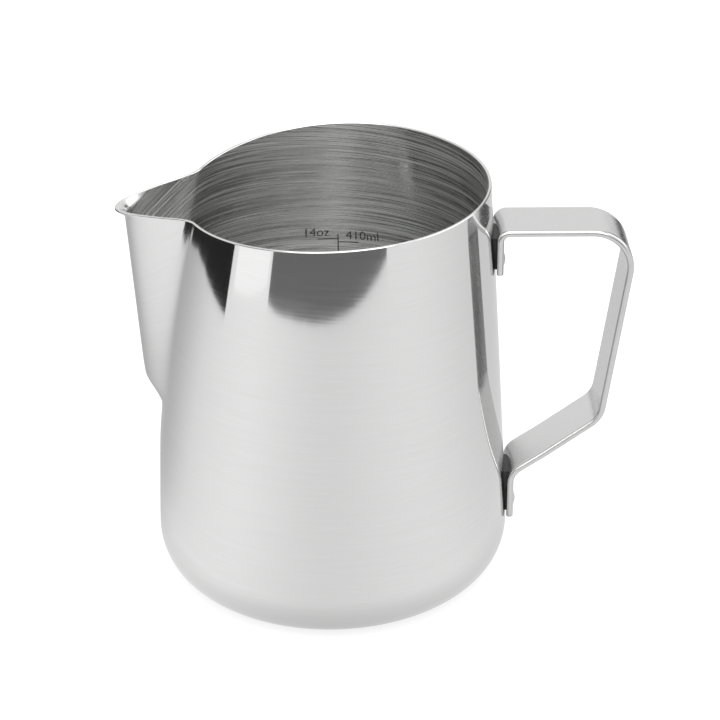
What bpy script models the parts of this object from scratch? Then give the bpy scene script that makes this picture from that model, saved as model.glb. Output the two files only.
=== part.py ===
"""Milk frothing pitcher: a drawn steel cup with a pressed pouring spout, and a bent strap handle.

The cup stands on z = 0 with its axis on Z. The spout points along -X and the handle along +X.
"""

import math

import bmesh
import bpy
from mathutils import Matrix, Vector

MM = 0.001

# Cup: a turned shape, flat underneath, widest just above its rounded bottom corner
CUP_HEIGHT = 105.8 * MM  # top of the rim on the handle's side
WALL = 0.8 * MM  # sheet thickness
BASE_RADIUS = 37.5 * MM  # flat part of the underside
BELLY_RADIUS = 45.7 * MM
BELLY_HEIGHT = 11.0 * MM  # where the bottom corner ends
RIM_RADIUS = 40.5 * MM
TAPER_CURVE = 1.1  # 1 is a straight cone; above 1 the belly is fuller
CUP_SIDES = 72
SIDE_CROWDING = 0.45  # share by which the sides are narrower at the spout, where the shape is finer

# Rim: level at the handle, and falling towards the spout
RIM_FALL = 5.3 * MM  # how much lower the rim is at the spout's tip, without its lip
RIM_FALL_START = 20.0 * MM  # x where the rim begins to fall

# Spout: a ridge pressed out of the wall, and the flattening that the pressing leaves beside it
SPOUT_TIP_X = 50.2 * MM  # the ridge's distance from the axis at the rim, without its lip
RIDGE_LEAN = 0.0586  # how much further out the ridge is, for each unit of height
SPOUT_FOOT = 49.4 * MM  # height where the ridge leaves the wall
SPOUT_FULL = 55.2 * MM  # height where the ridge stands fully out
SPOUT_ANGLE_TOP = math.radians(28.5)  # half the ridge's angular width, at the rim and at the foot
SPOUT_ANGLE_FOOT = math.radians(20.5)
WAIST_DEPTH = 5.3 * MM
WAIST_CURVE = 1.4  # 1 deepens evenly with height; above 1 mostly near the rim
WAIST_ANGLE = math.radians(120)
FOOT_DENT = 0.5 * MM  # how far the wall is drawn in just under the ridge
FOOT_DENT_Z = 47.0 * MM
FOOT_DENT_SPREAD = 7.0 * MM
LIP_REACH = 2.3 * MM  # the turned-out lip at the spout's tip
LIP_DROP = 0.9 * MM  # the lip's edge bends down as it turns out
LIP_DEPTH = 3.0 * MM
LIP_ANGLE = math.radians(13)

# Handle: one strip, bent in the plane y = 0
STRAP_WIDTH = 15.2 * MM
STRAP_THICK = 1.7 * MM
TAB_GAP = 0.3 * MM  # between a tab and the cup's wall
TAB_CURVE_RADIUS = 48.0 * MM  # the tabs are dished sideways to lie along the wall
TAB_CURVE_FADE = 11.0 * MM  # length over which the dishing dies out
TAB_CORNER = 0.8 * MM  # rounding of a tab's two corners
UPPER_TAB_END_Z = 82.5 * MM
TOP_RUN_Z = 94.0 * MM  # middle of the strip's thickness
TOP_RUN_DROP = 0.5 * MM
GRIP_TOP_X = 76.5 * MM
GRIP_FOOT = Vector((69.1, 41.4)) * MM
RETURN_BEND_Z = 25.1 * MM
LOWER_TAB_END_Z = 12.1 * MM
BEND_RADII = tuple(radius * MM for radius in (2.4, 9.9, 7.3, 5.5))  # to the middle of the thickness
BEND_STEP = math.radians(15)
STRAP_CELLS = 6  # across the width

# Spot welds: two side by side on each tab
WELD_RADIUS = 1.5 * MM
WELD_CLEARANCE = 0.3 * MM
WELD_PROUD = 0.4 * MM
WELD_SPACING = 8.0 * MM
UPPER_WELD_Z = 85.8 * MM
LOWER_WELD_Z = 16.4 * MM

STEEL_COLOUR = (0.66, 0.65, 0.63)


def clear_scene():
    for item in list(bpy.data.objects):
        bpy.data.objects.remove(item)


def steel(name, roughness):
    material = bpy.data.materials.new(name)
    material.use_nodes = True
    shader = material.node_tree.nodes["Principled BSDF"]
    shader.inputs["Base Color"].default_value = (*STEEL_COLOUR, 1.0)
    shader.inputs["Metallic"].default_value = 1.0
    shader.inputs["Roughness"].default_value = roughness
    return material


def finish_object(name, mesh_builder, material, crease=math.radians(40)):
    """Turns a bmesh into a named object, smooth except at sharp edges."""
    mesh = bpy.data.meshes.new(name)
    bmesh.ops.recalc_face_normals(mesh_builder, faces=mesh_builder.faces)
    mesh_builder.to_mesh(mesh)
    mesh_builder.free()
    mesh.shade_smooth()
    mesh.set_sharp_from_angle(angle=crease)
    mesh.materials.append(material)
    item = bpy.data.objects.new(name, mesh)
    bpy.context.scene.collection.objects.link(item)
    return item


def smoothstep(t):
    t = min(max(t, 0.0), 1.0)
    return t * t * (3 - 2 * t)


def lobe(angle, half_width):
    """1 in the middle, falling to 0 at half_width along a cosine."""
    if abs(angle) >= half_width:
        return 0.0
    return 0.5 + 0.5 * math.cos(math.pi * angle / half_width)


def wall_radius(z):
    """Outer radius of the turned cup, before the spout is pressed."""
    if z < BELLY_HEIGHT:
        rise = 1 - z / BELLY_HEIGHT
        return BASE_RADIUS + (BELLY_RADIUS - BASE_RADIUS) * math.sqrt(1 - rise * rise)
    share = (z - BELLY_HEIGHT) / (CUP_HEIGHT - BELLY_HEIGHT)
    return BELLY_RADIUS - (BELLY_RADIUS - RIM_RADIUS) * min(share, 1.0) ** TAPER_CURVE


def rim_fall(x):
    """How far the rim lies below its height at the handle."""
    reach = RIM_FALL_START + SPOUT_TIP_X
    return RIM_FALL * (max(RIM_FALL_START - x, 0.0) / reach) ** 2


def rim_reach(from_spout):
    """The rim's distance from the axis, without the lip, at an angle from the spout's middle."""
    wall = RIM_RADIUS - WAIST_DEPTH * lobe(from_spout, WAIST_ANGLE)
    return wall + (SPOUT_TIP_X - RIM_RADIUS + WAIST_DEPTH) * lobe(from_spout, SPOUT_ANGLE_TOP)


def lip_share(from_spout, below_rim):
    """How far the lip has turned out: 1 at its edge, in the spout's middle."""
    return lobe(from_spout, LIP_ANGLE) * max(1 - below_rim / LIP_DEPTH, 0.0) ** 2


def spout_push(from_spout, z):
    """Radial move of the wall, at an angle from the spout's middle and a height."""
    height_share = max((z - SPOUT_FOOT) / (CUP_HEIGHT - SPOUT_FOOT), 0.0)
    waist = WAIST_DEPTH * height_share**WAIST_CURVE
    ridge = SPOUT_TIP_X - RIDGE_LEAN * (CUP_HEIGHT - RIM_FALL - z) - wall_radius(z) + waist
    start = min(max((z - SPOUT_FOOT) / (SPOUT_FULL - SPOUT_FOOT), 0.0), 1.0)
    ridge *= math.sin(math.pi / 2 * start)
    ridge_angle = SPOUT_ANGLE_FOOT + (SPOUT_ANGLE_TOP - SPOUT_ANGLE_FOOT) * height_share**2
    dent = FOOT_DENT * math.exp(-(((z - FOOT_DENT_Z) / FOOT_DENT_SPREAD) ** 2))
    return (
        ridge * lobe(from_spout, ridge_angle)
        - waist * lobe(from_spout, WAIST_ANGLE)
        - dent * lobe(from_spout, SPOUT_ANGLE_FOOT)
    )


def press_spout(point):
    """Moves a point of the turned cup to where the pressing leaves it."""
    radius = math.hypot(point.x, point.y)
    if point.z < BELLY_HEIGHT or radius == 0:
        return point
    azimuth = math.atan2(point.y, point.x)
    from_spout = math.pi - abs(azimuth)
    share = max(point.z - SPOUT_FOOT, 0.0) / (CUP_HEIGHT - SPOUT_FOOT)
    z = point.z - share * rim_fall(rim_reach(from_spout) * math.cos(azimuth))
    lip = lip_share(from_spout, CUP_HEIGHT - point.z)
    radius = wall_radius(z) + spout_push(from_spout, z) + LIP_REACH * lip
    return Vector((radius * math.cos(azimuth), radius * math.sin(azimuth), z - LIP_DROP * lip))


def cup_levels():
    """Heights of the cup's rings above its bottom corner, closer where the shape turns."""
    plain = [(BELLY_HEIGHT, FOOT_DENT_Z - FOOT_DENT_SPREAD, 2)]
    foot = [(FOOT_DENT_Z - FOOT_DENT_SPREAD, SPOUT_FOOT, 2), (SPOUT_FOOT, SPOUT_FULL, 5)]
    neck = [(SPOUT_FULL, CUP_HEIGHT - LIP_DEPTH, 5), (CUP_HEIGHT - LIP_DEPTH, CUP_HEIGHT, 3)]
    levels = []
    for low, high, steps in plain + foot + neck:
        levels += [low + (high - low) * step / steps for step in range(1, steps + 1)]
    return levels


def cup_profile(corner_steps=5):
    """Half section of the cup's outer face, from the axis to the rim."""
    points = [(0.0, 0.0), (BASE_RADIUS, 0.0)]
    for step in range(1, corner_steps + 1):
        turn = math.pi / 2 * step / corner_steps
        reach = (BELLY_RADIUS - BASE_RADIUS) * math.sin(turn)
        points.append((BASE_RADIUS + reach, BELLY_HEIGHT * (1 - math.cos(turn))))
    return points + [(wall_radius(z), z) for z in cup_levels()]


def make_cup(material):
    builder = bmesh.new()
    verts = [builder.verts.new((radius, 0, z)) for radius, z in cup_profile()]
    edges = [builder.edges.new(pair) for pair in zip(verts, verts[1:])]
    bmesh.ops.spin(
        builder,
        geom=verts + edges,
        cent=(0, 0, 0),
        axis=(0, 0, 1),
        angle=2 * math.pi,
        steps=CUP_SIDES,
        use_merge=True,
    )
    bmesh.ops.remove_doubles(builder, verts=builder.verts, dist=0.01 * MM)
    for vert in builder.verts:
        azimuth = math.atan2(vert.co.y, vert.co.x)
        crowd = Matrix.Rotation(SIDE_CROWDING * math.sin(azimuth), 3, "Z")
        vert.co = press_spout(crowd @ vert.co)
    cup = finish_object("cup_body", builder, material)
    shell = cup.modifiers.new("sheet", "SOLIDIFY")
    shell.thickness = WALL
    shell.offset = -1
    shell.use_even_offset = True
    return cup


def rounded_path(corners, radii, step):
    """Corner points in a plane joined by straight runs, each inner corner rounded by an arc."""
    points = [corners[0]]
    for before, corner, after, radius in zip(corners, corners[1:], corners[2:], radii):
        inward = (before - corner).normalized()
        outward = (after - corner).normalized()
        half = inward.angle(outward) / 2
        centre = corner + (inward + outward).normalized() * (radius / math.sin(half))
        start = corner + inward * (radius / math.tan(half)) - centre
        sweep = math.pi - 2 * half
        count = max(2, round(sweep / step))
        for index in range(count + 1):
            turn = sweep * index / count
            points.append(centre + start * math.cos(turn) - inward * (radius * math.sin(turn)))
    return points + [corners[-1]]


def tab_x(low_z, high_z):
    """Distance from the axis of a tab's middle, clear of the wall over its whole height."""
    steps = 8
    widest = max(wall_radius(low_z + (high_z - low_z) * step / steps) for step in range(steps + 1))
    return widest + TAB_GAP + STRAP_THICK / 2


def strap_corners():
    upper_x = tab_x(UPPER_TAB_END_Z, TOP_RUN_Z)
    lower_x = tab_x(LOWER_TAB_END_Z, RETURN_BEND_Z)
    return [
        Vector((upper_x, UPPER_TAB_END_Z)),
        Vector((upper_x, TOP_RUN_Z)),
        Vector((GRIP_TOP_X, TOP_RUN_Z - TOP_RUN_DROP)),
        GRIP_FOOT,
        Vector((lower_x, RETURN_BEND_Z)),
        Vector((lower_x, LOWER_TAB_END_Z)),
    ]


def strap_stations():
    """Points along the strip, with extra ones over its rounded ends and where the dishing fades."""
    path = rounded_path(strap_corners(), BEND_RADII, BEND_STEP)
    ends = [0.0, 0.07, 0.3, 0.6, 1.0]
    first = [path[0] + Vector((0, TAB_CORNER * share)) for share in ends]
    last = [path[-1] + Vector((0, TAB_CORNER * share)) for share in reversed(ends)]
    run = path[-2 - round(math.radians(55) / BEND_STEP)]
    fade = run + (GRIP_FOOT - run).normalized() * TAB_CURVE_FADE
    middle = path[1:-1]
    middle.insert(middle.index(run), fade)
    return first + middle + last


def end_half_width(from_end):
    """Half the strip's width, at a distance from one of its rounded ends."""
    inside = max(TAB_CORNER - from_end, 0.0)
    return STRAP_WIDTH / 2 - TAB_CORNER + math.sqrt(TAB_CORNER**2 - inside**2)


def make_strap(material):
    stations = strap_stations()
    travelled = [0.0]
    for here, there in zip(stations, stations[1:]):
        travelled.append(travelled[-1] + (there - here).length)
    upper_tab = TOP_RUN_Z - UPPER_TAB_END_Z
    lower_tab = RETURN_BEND_Z - LOWER_TAB_END_Z
    builder = bmesh.new()
    rows = []
    for point, distance in zip(stations, travelled):
        left = travelled[-1] - distance
        half = end_half_width(min(distance, left))
        beyond = min(distance - upper_tab, left - lower_tab)
        dishing = (1 - smoothstep(beyond / TAB_CURVE_FADE)) / (2 * TAB_CURVE_RADIUS)
        row = []
        for cell in range(STRAP_CELLS + 1):
            y = half * (2 * cell / STRAP_CELLS - 1)
            row.append(builder.verts.new((point.x - dishing * y * y, y, point.y)))
        rows.append(row)
    for row, following in zip(rows, rows[1:]):
        for cell in range(STRAP_CELLS):
            builder.faces.new((row[cell], row[cell + 1], following[cell + 1], following[cell]))
    strap = finish_object("handle_strap", builder, material)
    sheet = strap.modifiers.new("sheet", "SOLIDIFY")
    sheet.thickness = STRAP_THICK
    sheet.offset = 0
    sheet.use_even_offset = True
    return strap


def weld_plug(name, radius, inner, outer, height, side, material, rounding=0.0):
    """A short round bar lying along the radius, through one tab."""
    builder = bmesh.new()
    bmesh.ops.create_cone(
        builder, cap_ends=True, segments=16, radius1=radius, radius2=radius, depth=outer - inner
    )
    if rounding:
        rim = [edge for edge in builder.edges if all(vert.co.z > 0 for vert in edge.verts)]
        bmesh.ops.bevel(builder, geom=rim, offset=rounding, segments=2, affect="EDGES", profile=0.5)
    lean = math.asin(side * WELD_SPACING / 2 / wall_radius(height))
    bmesh.ops.rotate(builder, verts=builder.verts, matrix=Matrix.Rotation(math.pi / 2, 3, "Y"))
    bmesh.ops.rotate(builder, verts=builder.verts, matrix=Matrix.Rotation(lean, 3, "Z"))
    plug = finish_object(name, builder, material)
    middle = (inner + outer) / 2
    plug.location = (middle * math.cos(lean), middle * math.sin(lean), height)
    return plug


def make_welds(strap, material):
    """Two nuggets on each tab, each in its own hole."""
    for place, height, tab_middle in (
        ("upper", UPPER_WELD_Z, tab_x(UPPER_TAB_END_Z, TOP_RUN_Z)),
        ("lower", LOWER_WELD_Z, tab_x(LOWER_TAB_END_Z, RETURN_BEND_Z)),
    ):
        inner = tab_middle - STRAP_THICK / 2
        outer = tab_middle + STRAP_THICK / 2
        for label, side in (("front", -1), ("back", 1)):
            weld_plug(
                f"weld_nugget_{place}_{label}",
                WELD_RADIUS,
                inner,
                outer + WELD_PROUD,
                height,
                side,
                material,
                rounding=WELD_PROUD,
            )
            cutter = weld_plug(
                f"cutter_{place}_{label}",
                WELD_RADIUS + WELD_CLEARANCE,
                inner - STRAP_THICK,
                outer + STRAP_THICK,
                height,
                side,
                material,
            )
            cutter.hide_render = True
            cutter.display_type = "WIRE"
            hole = strap.modifiers.new(f"hole_{place}_{label}", "BOOLEAN")
            hole.operation = "DIFFERENCE"
            hole.solver = "EXACT"
            hole.object = cutter


clear_scene()
make_cup(steel("polished_steel", 0.16))
handle = make_strap(steel("satin_steel", 0.22))
make_welds(handle, steel("weld_steel", 0.4))
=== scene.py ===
"""Milk frothing pitcher: its fine surfaces, materials and studio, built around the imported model.

The cup stands on z = 0 with its axis on Z, its spout along -X and its handle along +X. The cup and
the strap repeat the formulas of the part's source at a finer step, so both keep its dimensions.
"""

import math

import bmesh
import bpy
from mathutils import Matrix, Vector


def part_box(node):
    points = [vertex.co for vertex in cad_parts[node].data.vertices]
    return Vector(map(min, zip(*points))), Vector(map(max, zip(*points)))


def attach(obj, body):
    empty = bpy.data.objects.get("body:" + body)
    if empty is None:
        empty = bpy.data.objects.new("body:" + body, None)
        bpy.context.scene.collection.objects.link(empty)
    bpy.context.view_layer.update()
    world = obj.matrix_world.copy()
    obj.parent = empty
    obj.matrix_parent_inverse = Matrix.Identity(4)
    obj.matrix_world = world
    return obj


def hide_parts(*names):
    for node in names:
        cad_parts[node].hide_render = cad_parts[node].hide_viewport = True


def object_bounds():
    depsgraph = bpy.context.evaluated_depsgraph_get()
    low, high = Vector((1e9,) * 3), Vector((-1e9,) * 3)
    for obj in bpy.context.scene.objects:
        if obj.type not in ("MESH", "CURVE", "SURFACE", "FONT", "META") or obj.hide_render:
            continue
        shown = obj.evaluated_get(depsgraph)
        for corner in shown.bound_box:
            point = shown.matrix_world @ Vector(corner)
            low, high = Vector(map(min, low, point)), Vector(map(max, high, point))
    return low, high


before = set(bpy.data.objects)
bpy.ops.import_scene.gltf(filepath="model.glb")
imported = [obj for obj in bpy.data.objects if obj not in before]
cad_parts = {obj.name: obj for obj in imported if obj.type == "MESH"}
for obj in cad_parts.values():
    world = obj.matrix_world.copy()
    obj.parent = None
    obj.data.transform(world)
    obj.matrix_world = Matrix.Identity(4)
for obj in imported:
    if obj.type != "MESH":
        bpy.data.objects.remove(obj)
cad_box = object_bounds()

MM = 0.001
MERGE = 0.001 * MM  # points closer than this are one point
SHARP_ANGLE = math.radians(50)  # edges that turn more than this stay sharp

# Cup: a turned shape, flat underneath, widest just above its rounded bottom corner
CUP_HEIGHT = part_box("cup_body")[1][2]  # top of the rim on the handle's side
WALL = 0.8 * MM
BASE_RADIUS = 37.5 * MM
BELLY_RADIUS = 45.7 * MM
BELLY_HEIGHT = 11.0 * MM
RIM_RADIUS = 40.5 * MM
TAPER_CURVE = 1.1
CUP_SIDES = 240
SIDE_CROWDING = 0.45  # share by which the sides are narrower at the spout
CORNER_STEPS = 14
RIM_ROUNDING = 0.36 * MM
RIM_STEPS = 4

# Rim: level at the handle, and falling towards the spout
RIM_FALL = 5.3 * MM
RIM_FALL_START = 20.0 * MM

# Spout: a ridge pressed out of the wall, and the flattening that the pressing leaves beside it
SPOUT_TIP_X = 50.2 * MM
RIDGE_LEAN = 0.0586
SPOUT_FOOT = 49.4 * MM
SPOUT_FULL = 55.2 * MM
SPOUT_ANGLE_TOP = math.radians(28.5)
SPOUT_ANGLE_FOOT = math.radians(20.5)
WAIST_DEPTH = 5.3 * MM
WAIST_CURVE = 1.4
WAIST_ANGLE = math.radians(120)
FOOT_DENT = 0.5 * MM
FOOT_DENT_Z = 47.0 * MM
FOOT_DENT_SPREAD = 7.0 * MM
LIP_REACH = 2.3 * MM
LIP_DROP = 0.9 * MM
LIP_DEPTH = 3.0 * MM
LIP_ANGLE = math.radians(13)

# Handle: one strip, bent in the plane y = 0
STRAP_WIDTH = 15.2 * MM
STRAP_THICK = 1.7 * MM
TAB_GAP = 0.3 * MM
TAB_CURVE_RADIUS = 48.0 * MM
TAB_CURVE_FADE = 11.0 * MM
TAB_CORNER = 0.8 * MM
UPPER_TAB_END_Z = 82.5 * MM
TOP_RUN_Z = 94.0 * MM
TOP_RUN_DROP = 0.5 * MM
GRIP_TOP_X = 76.5 * MM
GRIP_FOOT = Vector((69.1, 41.4)) * MM
RETURN_BEND_Z = 25.1 * MM
LOWER_TAB_END_Z = 12.1 * MM
BEND_RADII = tuple(radius * MM for radius in (2.4, 9.9, 7.3, 5.5))
BEND_STEP = math.radians(3)
RUN_STEP = 1.5 * MM
STRAP_CELLS = 20
STRAP_ROUNDING = 0.75 * MM
ROUND_STEPS = 10

# Spot welds, seen as shallow domes on the tabs
WELD_DOME_RADIUS = 2.3 * MM
WELD_DOME_RISE = 0.4 * MM
WELD_DOME_SINK = 0.02 * MM  # how deep the dome's edge lies in the tab
WELD_DOME_ROOT = 0.3 * MM
WELD_DOME_STEPS = 10
WELD_DOME_SIDES = 40

# Dark filling between each tab and the wall: painted shade for the shadow in the gap
SEAM_HALF_WIDTH = 4.5 * MM
SEAM_INSET = 0.6 * MM
SEAM_CUTS = 7

# Fill scale on the inside of the wall, on the far side from the camera
SCALE_X = 2.7 * MM
SCALE_TOP_Z = 72.4 * MM
SCALE_LINE = 0.35 * MM
SCALE_RISE = 0.03 * MM
TICK_LENGTH = 5.4 * MM
FILL_OUNCE_Z = 71.0 * MM
FILL_LITRE_Z = 70.0 * MM
HALF_FILL_DROP = 35.7 * MM
LABEL_HEIGHT = 2.6 * MM
LABEL_LIFT = 0.9 * MM
LABEL_CAP_SHARE = 0.72  # height of a capital, as a share of the font's size
OUNCE_LABEL_GAP = 2.2 * MM
LITRE_LABEL_GAP = 2.0 * MM

# Camera and studio
CAMERA_PLACE = Vector((0.0, -507.5, 326.3)) * MM
CAMERA_YAW = math.radians(0.864)
CAMERA_PITCH = math.radians(28.045)
CAMERA_ROLL = math.radians(-0.70)
CAMERA_LENS = 112.2  # lens and sensor width in mm
CAMERA_SENSOR = 36.0

FLOOR_GLOW = 0.6
FLOOR_HALF_SIZE = 4.0
FLOOR_DROP = 0.05 * MM
SOFTBOX_PLACE = Vector((0, -0.1, 1.2))
SOFTBOX_SIZE = (1.2, 0.9)
SOFTBOX_POWER = 4
LIGHT_BOUNCES = 16  # light bounces many times before it leaves a deep steel cup
GLOSSY_BOUNCES = 14

# Surfaces that only reflections see. Directions are in degrees from -Y, positive towards +X.
CARD_SHADE = 0.02
TABLE_START = 0.04
TABLE_LIFT = 0.1 * MM
GROUND_LIFT = 0.2 * MM
GROUND_FAR = 2.5
CONTACT_SHADOW_GLOW = 0.75  # painted contact shadow: the table is darker close to the cup, between these two distances
CONTACT_START = 0.04
CONTACT_END = 0.065
CARD_GLOWS = {
    "black_card": 0.0,
    "dim_card": 0.17,
    "bright_card": 1.35,
    "high_card": 2.2,
    "top_card": 4.0,
}
FRONT_EDGE = ((-46, 0.36), (-41, 0.345), (-30, 0.33), (-20, 0.318), (-9, 0.308), (2, 0.305))
FRONT_EDGE += ((14, 0.309), (25, 0.322), (35, 0.344))
LEFT_EDGE = ((-150, 0.3), (-128, 0.33), (-112, 0.36), (-102, 0.36), (-92, 0.345))
LEFT_EDGE += ((-84, 0.334), (-77, 0.325))
RIGHT_EDGE = ((118, 0.36), (135, 0.36), (150, 0.36), (172, 0.36))
BRIGHT_EDGE = ((-73, 0.375), (-60, 0.37), (-48, 0.385))
GROUNDS = (  # name, material, far distance, near edge
    ("dark_ground_front", "dim_card", GROUND_FAR, FRONT_EDGE),
    ("dark_ground_left", "black_card", GROUND_FAR, LEFT_EDGE),
    ("bright_ground", "bright_card", 0.9, BRIGHT_EDGE),
    ("dark_ground_right", "black_card", GROUND_FAR, RIGHT_EDGE),
)
CARDS = (  # name, material, direction, elevation, distance, width, height
    ("dark_wall_left", "black_card", -104, 3, 1.5, 1.2, 0.3),
    ("dark_card_back", "black_card", 137, 23, 1.0, 0.35, 0.4),
    ("dark_card_left", "black_card", -67, 27, 1.0, 0.5, 0.45),
    ("bright_card_right", "high_card", 92, 34, 1.0, 0.9, 0.7),
    ("bright_card_top", "top_card", 0, 50, 1.0, 1.2, 0.7),
)
TABLE_GLOW = 1.25
TABLE_BANDS = (  # direction in degrees, brightness as a share of TABLE_GLOW
    (-180, 0.6),
    (-165, 0.6),
    (-135, 0.38),
    (-112, 0.52),
    (-90, 0.84),
    (-60, 0.96),
    (-38, 0.92),
    (-8, 0.76),
    (20, 0.83),
    (50, 0.9),
    (78, 0.82),
    (108, 0.7),
    (140, 0.6),
    (180, 0.6),
)


def smoothstep(t):
    t = min(max(t, 0.0), 1.0)
    return t * t * (3 - 2 * t)


def lobe(angle, half_width):
    """1 in the middle, falling to 0 at half_width along a cosine."""
    if abs(angle) >= half_width:
        return 0.0
    return 0.5 + 0.5 * math.cos(math.pi * angle / half_width)


def wall_radius(z):
    """Outer radius of the turned cup, before the spout is pressed."""
    if z < BELLY_HEIGHT:
        rise = 1 - z / BELLY_HEIGHT
        return BASE_RADIUS + (BELLY_RADIUS - BASE_RADIUS) * math.sqrt(1 - rise * rise)
    share = (z - BELLY_HEIGHT) / (CUP_HEIGHT - BELLY_HEIGHT)
    return BELLY_RADIUS - (BELLY_RADIUS - RIM_RADIUS) * min(share, 1.0) ** TAPER_CURVE


def rim_fall(x):
    """How far the rim lies below its height at the handle."""
    reach = RIM_FALL_START + SPOUT_TIP_X
    return RIM_FALL * (max(RIM_FALL_START - x, 0.0) / reach) ** 2


def rim_reach(from_spout):
    """The rim's distance from the axis, without the lip, at an angle from the spout's middle."""
    wall = RIM_RADIUS - WAIST_DEPTH * lobe(from_spout, WAIST_ANGLE)
    return wall + (SPOUT_TIP_X - RIM_RADIUS + WAIST_DEPTH) * lobe(from_spout, SPOUT_ANGLE_TOP)


def lip_share(from_spout, below_rim):
    """How far the lip has turned out: 1 at its edge, in the spout's middle."""
    return lobe(from_spout, LIP_ANGLE) * max(1 - below_rim / LIP_DEPTH, 0.0) ** 2


def spout_push(from_spout, z):
    """Radial move of the wall, at an angle from the spout's middle and a height."""
    height_share = max((z - SPOUT_FOOT) / (CUP_HEIGHT - SPOUT_FOOT), 0.0)
    waist = WAIST_DEPTH * height_share**WAIST_CURVE
    ridge = SPOUT_TIP_X - RIDGE_LEAN * (CUP_HEIGHT - RIM_FALL - z) - wall_radius(z) + waist
    start = min(max((z - SPOUT_FOOT) / (SPOUT_FULL - SPOUT_FOOT), 0.0), 1.0)
    ridge *= math.sin(math.pi / 2 * start)
    ridge_angle = SPOUT_ANGLE_FOOT + (SPOUT_ANGLE_TOP - SPOUT_ANGLE_FOOT) * height_share**2
    dent = FOOT_DENT * math.exp(-(((z - FOOT_DENT_Z) / FOOT_DENT_SPREAD) ** 2))
    return (
        ridge * lobe(from_spout, ridge_angle)
        - waist * lobe(from_spout, WAIST_ANGLE)
        - dent * lobe(from_spout, SPOUT_ANGLE_FOOT)
    )


def press_spout(point):
    """Moves a point of the turned cup to where the pressing leaves it."""
    radius = math.hypot(point.x, point.y)
    if point.z < BELLY_HEIGHT or radius == 0:
        return point
    azimuth = math.atan2(point.y, point.x)
    from_spout = math.pi - abs(azimuth)
    share = max(point.z - SPOUT_FOOT, 0.0) / (CUP_HEIGHT - SPOUT_FOOT)
    z = point.z - share * rim_fall(rim_reach(from_spout) * math.cos(azimuth))
    lip = lip_share(from_spout, CUP_HEIGHT - point.z)
    radius = wall_radius(z) + spout_push(from_spout, z) + LIP_REACH * lip
    return Vector((radius * math.cos(azimuth), radius * math.sin(azimuth), z - LIP_DROP * lip))


def cup_levels():
    """Heights of the cup's rings above its bottom corner, closer where the shape turns."""
    plain = [(BELLY_HEIGHT, FOOT_DENT_Z - 2 * FOOT_DENT_SPREAD, 8)]
    foot = [(FOOT_DENT_Z - 2 * FOOT_DENT_SPREAD, SPOUT_FOOT, 16), (SPOUT_FOOT, SPOUT_FULL, 14)]
    neck = [(SPOUT_FULL, CUP_HEIGHT - LIP_DEPTH, 40), (CUP_HEIGHT - LIP_DEPTH, CUP_HEIGHT, 8)]
    levels = []
    for low, high, steps in plain + foot + neck:
        levels += [low + (high - low) * step / steps for step in range(1, steps + 1)]
    return levels


def cup_profile():
    """Half section of the cup's outer face, from the axis to the rim."""
    points = [(0.0, 0.0), (BASE_RADIUS / 2, 0.0), (BASE_RADIUS, 0.0)]
    for step in range(1, CORNER_STEPS + 1):
        turn = math.pi / 2 * step / CORNER_STEPS
        reach = (BELLY_RADIUS - BASE_RADIUS) * math.sin(turn)
        points.append((BASE_RADIUS + reach, BELLY_HEIGHT * (1 - math.cos(turn))))
    return points + [(wall_radius(z), z) for z in cup_levels()]


def finish_piece(name, builder, materials, replaced=(), crease=None):
    """Turns a bmesh into a smooth piece that rides on the one body."""
    mesh = bpy.data.meshes.new(name)
    bmesh.ops.recalc_face_normals(builder, faces=builder.faces)
    builder.to_mesh(mesh)
    builder.free()
    mesh.shade_smooth()
    if crease is not None:
        mesh.set_sharp_from_angle(angle=crease)
    for material in materials:
        mesh.materials.append(material)
    piece = bpy.data.objects.new(name, mesh)
    bpy.context.scene.collection.objects.link(piece)
    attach(piece, "root")
    if replaced:
        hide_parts(*replaced)
    return piece


def thicken(cup):
    """Gives the cup's sheet its thickness, inwards, and rounds the rim's two edges."""
    inside_slot, edge_slot = 1, 2
    sheet = cup.modifiers.new("sheet", "SOLIDIFY")
    sheet.thickness = WALL
    sheet.offset = -1
    sheet.use_even_offset = True
    sheet.material_offset = inside_slot
    sheet.material_offset_rim = edge_slot
    soft = cup.modifiers.new("rounding", "BEVEL")
    soft.width = RIM_ROUNDING
    soft.segments = RIM_STEPS
    soft.limit_method = "ANGLE"
    soft.angle_limit = SHARP_ANGLE
    soft.material = edge_slot


def make_cup(outside, inside, edge):
    builder = bmesh.new()
    verts = [builder.verts.new((radius, 0, z)) for radius, z in cup_profile()]
    edges = [builder.edges.new(pair) for pair in zip(verts, verts[1:])]
    bmesh.ops.spin(
        builder,
        geom=verts + edges,
        cent=(0, 0, 0),
        axis=(0, 0, 1),
        angle=2 * math.pi,
        steps=CUP_SIDES,
        use_merge=True,
    )
    bmesh.ops.remove_doubles(builder, verts=builder.verts, dist=MERGE)
    for vert in builder.verts:
        azimuth = math.atan2(vert.co.y, vert.co.x)
        crowd = Matrix.Rotation(SIDE_CROWDING * math.sin(azimuth), 3, "Z")
        vert.co = press_spout(crowd @ vert.co)
    materials = [outside, inside, edge]
    thicken(finish_piece("pitcher_cup", builder, materials, ["cup_body"]))


def rounded_path(corners, radii):
    """Corner points in a plane joined by straight runs, each inner corner rounded by an arc."""
    points = [corners[0]]
    for before, corner, after, radius in zip(corners, corners[1:], corners[2:], radii):
        inward = (before - corner).normalized()
        outward = (after - corner).normalized()
        half = inward.angle(outward) / 2
        centre = corner + (inward + outward).normalized() * (radius / math.sin(half))
        start = corner + inward * (radius / math.tan(half)) - centre
        sweep = math.pi - 2 * half
        count = max(2, round(sweep / BEND_STEP))
        for index in range(count + 1):
            turn = sweep * index / count
            points.append(centre + start * math.cos(turn) - inward * (radius * math.sin(turn)))
    return points + [corners[-1]]


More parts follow.
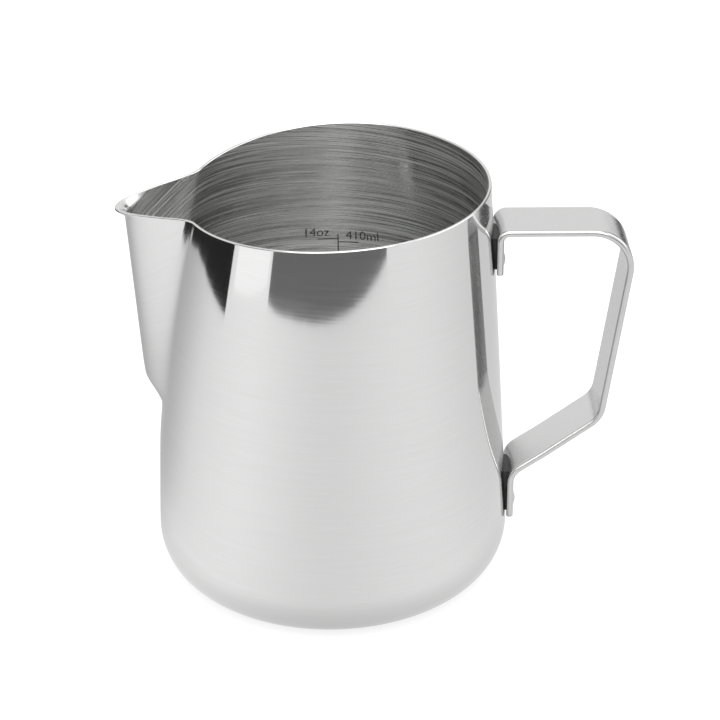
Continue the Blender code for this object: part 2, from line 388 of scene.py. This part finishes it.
def tab_x(low_z, high_z):
    """Distance from the axis of a tab's middle, clear of the wall over its whole height."""
    steps = 8
    widest = max(wall_radius(low_z + (high_z - low_z) * step / steps) for step in range(steps + 1))
    return widest + TAB_GAP + STRAP_THICK / 2


UPPER_TAB_X = tab_x(UPPER_TAB_END_Z, TOP_RUN_Z)
LOWER_TAB_X = tab_x(LOWER_TAB_END_Z, RETURN_BEND_Z)


def strap_stations():
    """Points along the strip, close enough together for its dishing and its rounded ends."""
    corners = [
        Vector((UPPER_TAB_X, UPPER_TAB_END_Z)),
        Vector((UPPER_TAB_X, TOP_RUN_Z)),
        Vector((GRIP_TOP_X, TOP_RUN_Z - TOP_RUN_DROP)),
        GRIP_FOOT,
        Vector((LOWER_TAB_X, RETURN_BEND_Z)),
        Vector((LOWER_TAB_X, LOWER_TAB_END_Z)),
    ]
    path = rounded_path(corners, BEND_RADII)
    ends = [0.0, 0.07, 0.3, 0.6, 1.0]
    first = [path[0] + Vector((0, TAB_CORNER * share)) for share in ends]
    last = [path[-1] + Vector((0, TAB_CORNER * share)) for share in reversed(ends)]
    bare = first + path[1:-1] + last
    stations = [bare[0]]
    for here, there in zip(bare, bare[1:]):
        count = math.ceil((there - here).length / RUN_STEP)
        stations += [here.lerp(there, step / count) for step in range(1, count + 1)]
    return stations


def end_half_width(from_end):
    """Half the strip's width, at a distance from one of its rounded ends."""
    inside = max(TAB_CORNER - from_end, 0.0)
    return STRAP_WIDTH / 2 - TAB_CORNER + math.sqrt(TAB_CORNER**2 - inside**2)


def strap_section(half_width):
    """Points around the strip's section as (y, offset), and whether each starts a rounded side."""
    flat = half_width - STRAP_ROUNDING
    core = STRAP_THICK / 2 - STRAP_ROUNDING
    points = []
    for side in (1, -1):
        for cell in range(STRAP_CELLS):
            points.append((side * flat * (2 * cell / STRAP_CELLS - 1), side * STRAP_THICK / 2, False))
        for step in range(ROUND_STEPS + 1):
            turn = math.pi / 2 - math.pi * step / ROUND_STEPS
            y = flat + STRAP_ROUNDING * math.cos(turn)
            offset = STRAP_ROUNDING * math.sin(turn) + math.copysign(core, math.sin(turn))
            points.append((side * y, side * offset, step < ROUND_STEPS))
    return points


def make_strap(face, edge):
    stations = strap_stations()
    travelled = [0.0]
    for here, there in zip(stations, stations[1:]):
        travelled.append(travelled[-1] + (there - here).length)
    upper_tab = TOP_RUN_Z - UPPER_TAB_END_Z
    lower_tab = RETURN_BEND_Z - LOWER_TAB_END_Z
    builder = bmesh.new()
    loops = []
    for index, (point, distance) in enumerate(zip(stations, travelled)):
        left = travelled[-1] - distance
        section = strap_section(end_half_width(min(distance, left)))
        beyond = min(distance - upper_tab, left - lower_tab)
        dishing = (1 - smoothstep(beyond / TAB_CURVE_FADE)) / (2 * TAB_CURVE_RADIUS)
        along = stations[min(index + 1, len(stations) - 1)] - stations[max(index - 1, 0)]
        across = Vector((along.y, -along.x)).normalized()
        loop = []
        for y, offset, _ in section:
            place = point + across * offset
            loop.append(builder.verts.new((place.x - dishing * y * y, y, place.y)))
        loops.append(loop)
    rounded = [item[2] for item in section]
    for loop, following in zip(loops, loops[1:]):
        for here in range(len(loop)):
            there = (here + 1) % len(loop)
            side = builder.faces.new((loop[here], loop[there], following[there], following[here]))
            side.material_index = 1 if rounded[here] else 0
    for end in (loops[0], loops[-1]):
        builder.faces.new(end).material_index = 1
    finish_piece("handle_strip", builder, [face, edge], ["handle_strap"], SHARP_ANGLE)


def make_weld(node, material):
    """A shallow dome on the tab's outer face, over the CAD weld, turned around X."""
    low, high = (Vector(corner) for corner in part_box(node))
    middle = (low + high) / 2
    tab = UPPER_TAB_X if middle.z > CUP_HEIGHT / 2 else LOWER_TAB_X
    lean = math.atan2(middle.y, middle.x)
    builder = bmesh.new()
    verts = []
    for step in range(WELD_DOME_STEPS + 1):
        share = step / WELD_DOME_STEPS
        rise = WELD_DOME_RISE * math.cos(math.pi / 2 * share) ** 2 - WELD_DOME_SINK
        verts.append(builder.verts.new((rise, WELD_DOME_RADIUS * share, 0)))
    verts.append(builder.verts.new((-WELD_DOME_ROOT, WELD_DOME_RADIUS, 0)))
    verts.append(builder.verts.new((-WELD_DOME_ROOT, 0, 0)))
    edges = [builder.edges.new(pair) for pair in zip(verts, verts[1:])]
    bmesh.ops.spin(
        builder,
        geom=verts + edges,
        cent=(0, 0, 0),
        axis=(1, 0, 0),
        angle=2 * math.pi,
        steps=WELD_DOME_SIDES,
        use_merge=True,
    )
    bmesh.ops.remove_doubles(builder, verts=builder.verts, dist=MERGE)
    bmesh.ops.translate(builder, verts=builder.verts, vec=(tab + STRAP_THICK / 2, 0, middle.z))
    bmesh.ops.rotate(builder, verts=builder.verts, matrix=Matrix.Rotation(lean, 3, "Z"))
    name = node.replace("weld_nugget", "weld_dome")
    finish_piece(name, builder, [material], [node], SHARP_ANGLE)


def make_gap_shade(name, tab, low_z, high_z, material):
    """Painted shade: a dark filling of the narrow gap between a tab and the wall, curved like both of
    them.
    """
    builder = bmesh.new()
    bmesh.ops.create_cube(builder, size=1.0)
    bmesh.ops.subdivide_edges(builder, edges=builder.edges[:], cuts=SEAM_CUTS, use_grid_fill=True)
    for vert in builder.verts:
        y = 2 * SEAM_HALF_WIDTH * vert.co.y
        z = low_z + (high_z - low_z) * (vert.co.z + 0.5)
        near = math.sqrt((wall_radius(z) - WALL / 2) ** 2 - y * y)
        far = tab - STRAP_THICK / 4 - y * y / (2 * TAB_CURVE_RADIUS)
        vert.co = (near + (far - near) * (vert.co.x + 0.5), y, z)
    finish_piece(name, builder, [material], crease=SHARP_ANGLE)


def wrap_on_wall(builder):
    """Bends flat marks onto the inner wall: x runs along the wall, y is height, z is their rise."""
    for vert in builder.verts:
        along, height, rise = vert.co
        azimuth = math.pi / 2 - along / RIM_RADIUS
        wall = wall_radius(height) + spout_push(math.pi - azimuth, height)
        radius = wall - WALL - rise
        vert.co = (radius * math.cos(azimuth), radius * math.sin(azimuth), height)


def add_bar(builder, low, high):
    """A flat rectangle in the marks' plane, cut into short cells so that it can bend."""
    count = max(1, math.ceil((high[0] - low[0]) / MM))
    made = bmesh.ops.create_grid(builder, x_segments=count, y_segments=1, size=0.5)["verts"]
    for vert in made:
        vert.co.x = low[0] + (vert.co.x + 0.5) * (high[0] - low[0])
        vert.co.y = low[1] + (vert.co.y + 0.5) * (high[1] - low[1])


def add_label(builder, words, start, base, fit_right=False):
    """Generic sans-serif figures, standing on a line at height base."""
    curve = bpy.data.curves.new(words, "FONT")
    curve.body = words
    curve.align_x = "RIGHT" if fit_right else "LEFT"
    curve.size = LABEL_HEIGHT / LABEL_CAP_SHARE
    carrier = bpy.data.objects.new(words, curve)
    bpy.context.scene.collection.objects.link(carrier)
    depsgraph = bpy.context.evaluated_depsgraph_get()
    mesh = bpy.data.meshes.new_from_object(carrier.evaluated_get(depsgraph))
    mesh.transform(Matrix.Translation((start, base, 0)))
    builder.from_mesh(mesh)
    bpy.data.objects.remove(carrier)
    bpy.data.meshes.remove(mesh)


def make_fill_scale(material):
    """An axis line with a tick and a label on each side, at the full and at the half mark."""
    builder = bmesh.new()
    half = SCALE_LINE / 2
    add_bar(builder, (SCALE_X - half, FILL_LITRE_Z - HALF_FILL_DROP - MM), (SCALE_X + half, SCALE_TOP_Z))
    for drop, ounces, litres in ((0, "14oz", "410ml"), (HALF_FILL_DROP, "7oz", "205ml")):
        left, right = FILL_OUNCE_Z - drop, FILL_LITRE_Z - drop
        add_bar(builder, (SCALE_X - TICK_LENGTH, left - half), (SCALE_X - half, left + half))
        add_bar(builder, (SCALE_X + half, right - half), (SCALE_X + TICK_LENGTH, right + half))
        add_label(builder, ounces, SCALE_X - OUNCE_LABEL_GAP, left + LABEL_LIFT, fit_right=True)
        add_label(builder, litres, SCALE_X + LITRE_LABEL_GAP, right + LABEL_LIFT)
    bmesh.ops.subdivide_edges(
        builder, edges=[e for e in builder.edges if e.calc_length() > 2 * MM], cuts=2
    )
    bmesh.ops.remove_doubles(builder, verts=builder.verts, dist=MERGE)
    top = bmesh.ops.extrude_face_region(builder, geom=builder.faces[:])["geom"]
    for item in top:
        if isinstance(item, bmesh.types.BMVert):
            item.co.z += SCALE_RISE
    for vert in builder.verts:
        vert.co.z -= SCALE_RISE / 3
    wrap_on_wall(builder)
    finish_piece("fill_scale", builder, [material])


class Nodes:
    """Short calls for building one material's node tree."""

    def __init__(self, name):
        self.material = bpy.data.materials.new(name)
        self.material.use_nodes = True
        self.tree = self.material.node_tree
        self.shader = self.tree.nodes["Principled BSDF"]

    def add(self, kind, **settings):
        node = self.tree.nodes.new(kind)
        for key, value in settings.items():
            setattr(node, key, value)
        return node

    def link(self, source, target):
        self.tree.links.new(source, target)

    def math(self, operation, first, second=0.0):
        node = self.add("ShaderNodeMath", operation=operation)
        for socket, value in zip(node.inputs, (first, second)):
            if isinstance(value, bpy.types.NodeSocket):
                self.link(value, socket)
            else:
                socket.default_value = value
        return node.outputs[0]

    def span(self, value, low, high, from_low=0.0, from_high=1.0):
        """Maps a value to a range, holding it at both ends."""
        node = self.add("ShaderNodeMapRange")
        self.link(value, node.inputs["Value"])
        node.inputs["From Min"].default_value = from_low
        node.inputs["From Max"].default_value = from_high
        node.inputs["To Min"].default_value = low
        node.inputs["To Max"].default_value = high
        return node.outputs["Result"]

    def noise(self, vector, scale=1.0, detail=2.0):
        node = self.add("ShaderNodeTexNoise")
        node.inputs["Scale"].default_value = scale
        node.inputs["Detail"].default_value = detail
        self.link(vector, node.inputs["Vector"])
        return node.outputs["Fac"]

    def place(self):
        """The point in the object's own coordinates, and its three parts."""
        point = self.add("ShaderNodeTexCoord").outputs["Object"]
        parts = self.add("ShaderNodeSeparateXYZ")
        self.link(point, parts.inputs[0])
        return point, parts.outputs

    def from_axis(self, parts):
        """Distance from the Z axis."""
        square = self.math("ADD", self.math("POWER", parts[0], 2.0), self.math("POWER", parts[1], 2.0))
        return self.math("SQRT", square)

    def stretched(self, parts, along, across, tilt=0.0):
        """Coordinates whose noise makes rings around Z: long in X and Y, fine along the profile."""
        profile = self.math("ADD", parts[2], self.from_axis(parts))
        if tilt:
            profile = self.math("ADD", profile, self.math("MULTIPLY", parts[0], tilt))
        joined = self.add("ShaderNodeCombineXYZ")
        self.link(self.math("MULTIPLY", parts[0], along), joined.inputs[0])
        self.link(self.math("MULTIPLY", parts[1], along), joined.inputs[1])
        self.link(self.math("MULTIPLY", profile, across), joined.inputs[2])
        return joined.outputs[0]

    def bump(self, height, distance):
        node = self.add("ShaderNodeBump")
        node.inputs["Distance"].default_value = distance
        self.link(height, node.inputs["Height"])
        self.link(node.outputs["Normal"], self.shader.inputs["Normal"])

    def matt(self, shade, glow):
        """Plain surface without gloss, that also shines by itself."""
        self.shader.inputs["Base Color"].default_value = (shade, shade, shade, 1)
        self.shader.inputs["Roughness"].default_value = 0.9
        self.shader.inputs["Specular IOR Level"].default_value = 0.0
        self.shader.inputs["Emission Color"].default_value = (1, 1, 1, 1)
        self.shader.inputs["Emission Strength"].default_value = glow

    def colour(self, value, dark, light):
        ramp = self.add("ShaderNodeValToRGB")
        ramp.color_ramp.elements[0].color = (*dark, 1.0)
        ramp.color_ramp.elements[1].color = (*light, 1.0)
        self.link(value, ramp.inputs["Fac"])
        self.link(ramp.outputs["Color"], self.shader.inputs["Base Color"])


def turned_tangent(nodes, anisotropy):
    """Smears reflections across the grain, which runs around Z."""
    tangent = nodes.add("ShaderNodeTangent", direction_type="RADIAL", axis="Z")
    nodes.link(tangent.outputs[0], nodes.shader.inputs["Tangent"])
    nodes.shader.inputs["Anisotropic"].default_value = anisotropy
    nodes.shader.inputs["Anisotropic Rotation"].default_value = 0.25


def polished_outside():
    """Near-mirror polish with a very fine grain around the cup."""
    nodes = Nodes("polished_outside")
    point, parts = nodes.place()
    fine = nodes.noise(nodes.stretched(parts, 90, 2600), detail=4)
    broad = nodes.noise(nodes.stretched(parts, 40, 900, tilt=0.02), detail=2)
    cloud = nodes.noise(point, scale=35, detail=3)
    grain = nodes.math("ADD", nodes.math("MULTIPLY", fine, 0.6), nodes.math("MULTIPLY", broad, 0.4))
    gloss = nodes.math("ADD", grain, cloud)
    nodes.link(nodes.span(gloss, 0.03, 0.08, 0.6, 1.4), nodes.shader.inputs["Roughness"])
    nodes.colour(grain, (0.6, 0.6, 0.598), (0.66, 0.66, 0.658))
    nodes.shader.inputs["Metallic"].default_value = 1.0
    turned_tangent(nodes, 0.5)
    nodes.bump(grain, 0.0012 * MM)
    return nodes.material


def turned_inside():
    """Strong turning lines around the inside."""
    nodes = Nodes("turned_inside")
    point, parts = nodes.place()
    fine = nodes.noise(nodes.stretched(parts, 22, 3600, tilt=0.03), detail=5)
    broad = nodes.noise(nodes.stretched(parts, 12, 1100, tilt=-0.04), detail=3)
    grain = nodes.math("ADD", nodes.math("MULTIPLY", fine, 0.75), nodes.math("MULTIPLY", broad, 0.25))
    nodes.link(nodes.span(grain, 0.12, 0.42, 0.4, 0.62), nodes.shader.inputs["Roughness"])
    nodes.colour(nodes.span(grain, 0.0, 1.0, 0.36, 0.64), (0.5, 0.5, 0.496), (0.86, 0.86, 0.855))
    nodes.shader.inputs["Metallic"].default_value = 1.0
    turned_tangent(nodes, 0.6)
    nodes.bump(grain, 0.015 * MM)
    return nodes.material


def plain_steel(name, low_roughness, high_roughness, dark, light, scale=400, bump=0.001 * MM):
    """Steel with a soft mottle in colour and gloss."""
    nodes = Nodes(name)
    point, _ = nodes.place()
    mottle = nodes.noise(point, scale=scale, detail=4)
    gloss = nodes.span(mottle, low_roughness, high_roughness, 0.3, 0.7)
    nodes.link(gloss, nodes.shader.inputs["Roughness"])
    nodes.colour(mottle, dark, light)
    nodes.shader.inputs["Metallic"].default_value = 1.0
    nodes.bump(mottle, bump)
    return nodes.material


def etched_mark():
    nodes = Nodes("etched_mark")
    point, _ = nodes.place()
    mottle = nodes.noise(point, scale=2500, detail=2)
    nodes.colour(mottle, (0.02, 0.02, 0.02), (0.06, 0.06, 0.06))
    nodes.link(nodes.span(mottle, 0.5, 0.7), nodes.shader.inputs["Roughness"])
    nodes.shader.inputs["Metallic"].default_value = 0.3
    return nodes.material


def add_camera():
    data = bpy.data.cameras.new("photo_view")
    data.lens = CAMERA_LENS
    data.sensor_width = CAMERA_SENSOR
    data.clip_start = 10 * MM
    camera = bpy.data.objects.new("photo_view", data)
    level = math.cos(CAMERA_PITCH)
    forward = Vector(
        (math.sin(CAMERA_YAW) * level, math.cos(CAMERA_YAW) * level, -math.sin(CAMERA_PITCH))
    )
    right = Vector((math.cos(CAMERA_YAW), -math.sin(CAMERA_YAW), 0))
    up = right.cross(forward)
    tilted_right = right * math.cos(CAMERA_ROLL) + up * math.sin(CAMERA_ROLL)
    tilted_up = up * math.cos(CAMERA_ROLL) - right * math.sin(CAMERA_ROLL)
    turn = Matrix((tilted_right, tilted_up, -forward)).transposed().to_4x4()
    camera.matrix_world = Matrix.Translation(CAMERA_PLACE) @ turn
    bpy.context.scene.collection.objects.link(camera)
    bpy.context.scene.camera = camera


def add_softbox():
    data = bpy.data.lights.new("top_softbox", "AREA")
    data.shape = "RECTANGLE"
    data.size, data.size_y = SOFTBOX_SIZE
    data.energy = SOFTBOX_POWER
    light = bpy.data.objects.new("top_softbox", data)
    light.location = SOFTBOX_PLACE
    light.rotation_euler = (-SOFTBOX_PLACE).to_track_quat("-Z", "Y").to_euler()
    bpy.context.scene.collection.objects.link(light)


def show_in_reflections_only(card):
    card.visible_camera = False
    card.visible_diffuse = False
    card.visible_shadow = False
    bpy.context.scene.collection.objects.link(card)


def add_ground(name, edge, far, material, height):
    """Flat ground from an edge, a list of (direction, distance) seen from the cup, out to far."""
    builder = bmesh.new()
    pairs = []
    for direction, near in edge:
        turn = math.radians(direction)
        out = Vector((math.sin(turn), -math.cos(turn), 0))
        pairs.append([builder.verts.new(out * reach) for reach in (near, far)])
    for here, there in zip(pairs, pairs[1:]):
        builder.faces.new((here[0], here[1], there[1], there[0]))
    mesh = bpy.data.meshes.new(name)
    builder.to_mesh(mesh)
    builder.free()
    mesh.materials.append(material)
    ground = bpy.data.objects.new(name, mesh)
    ground.location.z = height
    show_in_reflections_only(ground)


def add_card(name, direction, elevation, distance, width, height, material):
    """A flat card facing the cup, its middle at a direction and an elevation seen from the cup."""
    turn, rise = math.radians(direction), math.radians(elevation)
    out = Vector((math.sin(turn) * math.cos(rise), -math.cos(turn) * math.cos(rise), math.sin(rise)))
    builder = bmesh.new()
    bmesh.ops.create_grid(builder, x_segments=1, y_segments=1, size=0.5)
    mesh = bpy.data.meshes.new(name)
    builder.to_mesh(mesh)
    builder.free()
    mesh.materials.append(material)
    card = bpy.data.objects.new(name, mesh)
    card.scale = (width, height, 1)
    card.rotation_euler = out.to_track_quat("Z", "Y").to_euler()
    card.location = out * distance
    show_in_reflections_only(card)


def table_light():
    """White table top as the steel sees it: a little darker straight ahead and towards both sides."""
    nodes = Nodes("table_light")
    _, parts = nodes.place()
    direction = nodes.math("ARCTAN2", parts[0], nodes.math("MULTIPLY", parts[1], -1.0))
    turn = nodes.span(direction, 0.0, 1.0, -math.pi, math.pi)
    ramp = nodes.add("ShaderNodeValToRGB")
    ramp.color_ramp.interpolation = "B_SPLINE"
    stops = ramp.color_ramp.elements
    while len(stops) < len(TABLE_BANDS):
        stops.new(0.5)
    for stop, (degrees, shade) in zip(stops, TABLE_BANDS):
        stop.position = (degrees + 180) / 360
        stop.color = (shade, shade, shade, 1)
    nodes.link(turn, ramp.inputs["Fac"])
    # Painted contact shadow: the table's glow dims close to the cup
    glow = nodes.span(
        nodes.from_axis(parts), CONTACT_SHADOW_GLOW * TABLE_GLOW, TABLE_GLOW, CONTACT_START, CONTACT_END
    )
    nodes.matt(CARD_SHADE, TABLE_GLOW)
    nodes.link(ramp.outputs["Color"], nodes.shader.inputs["Emission Color"])
    nodes.link(glow, nodes.shader.inputs["Emission Strength"])
    return nodes.material


def card_material(name, glow):
    nodes = Nodes(name)
    nodes.matt(CARD_SHADE, glow)
    return nodes.material


def add_floor():
    paper = Nodes("white_floor")
    paper.matt(0.6, FLOOR_GLOW)
    point, _ = paper.place()
    fibre = paper.noise(point, scale=300, detail=3)
    paper.colour(fibre, (0.59, 0.59, 0.59), (0.61, 0.61, 0.61))
    builder = bmesh.new()
    bmesh.ops.create_grid(builder, x_segments=1, y_segments=1, size=FLOOR_HALF_SIZE)
    mesh = bpy.data.meshes.new("floor")
    builder.to_mesh(mesh)
    builder.free()
    mesh.materials.append(paper.material)
    floor = bpy.data.objects.new("floor", mesh)
    floor.location.z = cad_box[0][2] - FLOOR_DROP
    bpy.context.scene.collection.objects.link(floor)


def studio():
    world = bpy.data.worlds.new("white_room")
    world.use_nodes = True
    bpy.context.scene.world = world
    sky = world.node_tree.nodes["Background"]
    sky.inputs["Color"].default_value = (1, 1, 1, 1)
    sky.inputs["Strength"].default_value = 1.0

    add_floor()
    add_softbox()
    materials = {name: card_material(name, glow) for name, glow in CARD_GLOWS.items()}
    table = [(direction, TABLE_START) for direction in range(-180, 181, 10)]
    add_ground("table_light", table, GROUND_FAR, table_light(), TABLE_LIFT)
    for name, kind, far, edge in GROUNDS:
        add_ground(name, edge, far, materials[kind], GROUND_LIFT)
    for name, kind, *placing in CARDS:
        add_card(name, *placing, materials[kind])

    light_paths = bpy.context.scene.cycles
    light_paths.max_bounces = LIGHT_BOUNCES
    light_paths.glossy_bounces = GLOSSY_BOUNCES
    bpy.context.scene.view_settings.view_transform = "Standard"


add_camera()
studio()
rim_steel = plain_steel("rim_steel", 0.06, 0.16, (0.6, 0.6, 0.598), (0.7, 0.7, 0.698))
make_cup(polished_outside(), turned_inside(), rim_steel)
fine = 0.0005 * MM
satin = plain_steel("satin_strap", 0.22, 0.28, (0.61, 0.61, 0.608), (0.64, 0.64, 0.638), 600, fine)
# Painted shade: the strip's rounded edges and ends get a darker copy of its satin steel
shaded_strap_edge = plain_steel("shaded_strap_edge", 0.14, 0.2, (0.5, 0.5, 0.498), (0.58, 0.58, 0.578), 700, fine)
make_strap(satin, shaded_strap_edge)
weld = plain_steel("weld_spot", 0.3, 0.45, (0.4, 0.39, 0.38), (0.62, 0.61, 0.6), 900, 0.01 * MM)
for weld_node in [name for name in sorted(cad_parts) if name.startswith("weld_nugget")]:
    make_weld(weld_node, weld)
# Painted shade: near-black steel standing in for the shadow in the gaps beside the tabs
gap_shade = plain_steel("painted_gap_shade", 0.5, 0.6, (0.06, 0.06, 0.06), (0.12, 0.12, 0.12), 900)
make_gap_shade("gap_shade_upper", UPPER_TAB_X, UPPER_TAB_END_Z + SEAM_INSET, TOP_RUN_Z - BEND_RADII[0], gap_shade)
make_gap_shade("gap_shade_lower", LOWER_TAB_X, LOWER_TAB_END_Z + SEAM_INSET, RETURN_BEND_Z - SEAM_INSET, gap_shade)
make_fill_scale(etched_mark())
